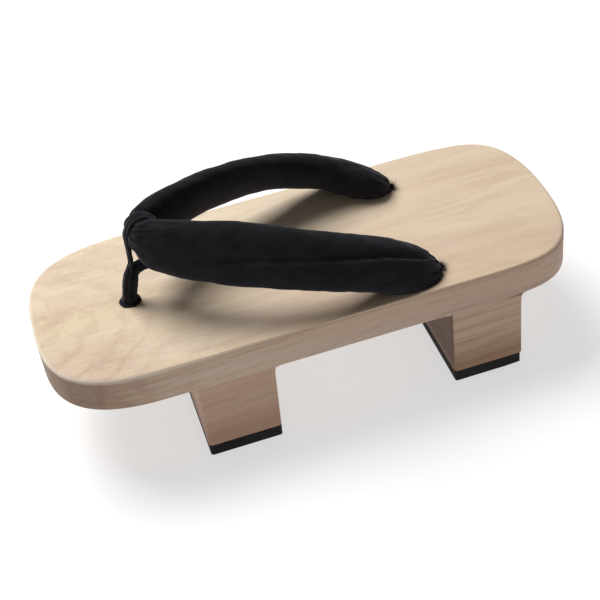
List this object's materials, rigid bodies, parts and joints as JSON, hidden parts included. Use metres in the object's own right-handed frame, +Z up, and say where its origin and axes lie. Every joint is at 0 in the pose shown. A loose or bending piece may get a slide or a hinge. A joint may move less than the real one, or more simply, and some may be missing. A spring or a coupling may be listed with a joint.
{
  "type": "geta sandal",
  "caption": "Wooden sandal: a flat board with rounded ends on two cross teeth with rubber treads, and a padded velvet thong strap.",
  "frame": {"origin": "on the floor under the middle of the board, between the two teeth", "axes": "+X towards the toe, +Y to the wearer's left, +Z up"},
  "size_m": [0.25, 0.1, 0.107],
  "materials": {
    "board_wood": "pale, fine-grained light wood, sanded smooth and unvarnished",
    "tooth_wood": "slightly darker and pinker light wood, sanded",
    "tread_rubber": "matt black sheet rubber",
    "velvet": "black velvet over padding, short nap",
    "cord": "dark twisted cotton cord"
  },
  "bodies": {
    "root": {"board": "board_wood", "front_tooth": "tooth_wood", "rear_tooth": "tooth_wood", "front_pad": "tread_rubber", "rear_pad": "tread_rubber", "strap": "velvet", "front_loop": "velvet", "left_cord": "cord", "right_cord": "cord"}
  },
  "joints": []
}
